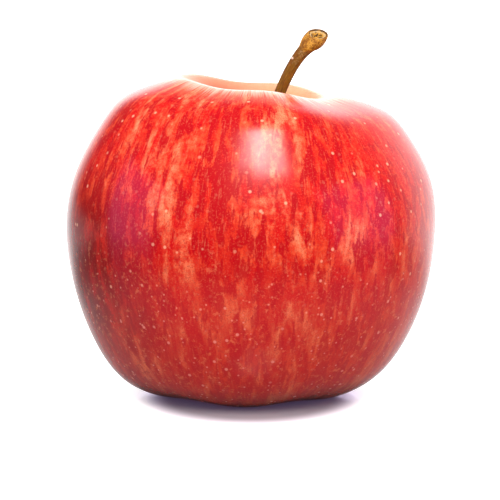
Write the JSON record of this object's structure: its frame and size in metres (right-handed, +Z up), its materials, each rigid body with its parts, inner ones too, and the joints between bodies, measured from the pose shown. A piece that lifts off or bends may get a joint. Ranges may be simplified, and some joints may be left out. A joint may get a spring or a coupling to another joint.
{
  "type": "apple",
  "caption": "Whole red eating apple standing on its base, with its woody stem in the cavity and the dried calyx in the basin underneath.",
  "frame": {"origin": "on the resting surface, under the middle of the fruit's outline", "axes": "+Z up through the stem cavity, -Y towards the side that is seen first, +X to that side's right, where the stem leans"},
  "size_m": [0.0782, 0.0782, 0.0772],
  "materials": {
    "apple_skin": "smooth waxy gloss, red streaks over yellow, pale dots",
    "stem_bark": "dry ridged bark, pale cut end",
    "dried_sepal": "dry, downy, curled",
    "dried_stamen": "dry, matt"
  },
  "bodies": {
    "root": {"fruit": "apple_skin", "stem": "stem_bark", "sepal_1": "dried_sepal", "sepal_2": "dried_sepal", "sepal_3": "dried_sepal", "sepal_4": "dried_sepal", "sepal_5": "dried_sepal", "dried_stamens": "dried_stamen"}
  },
  "joints": []
}
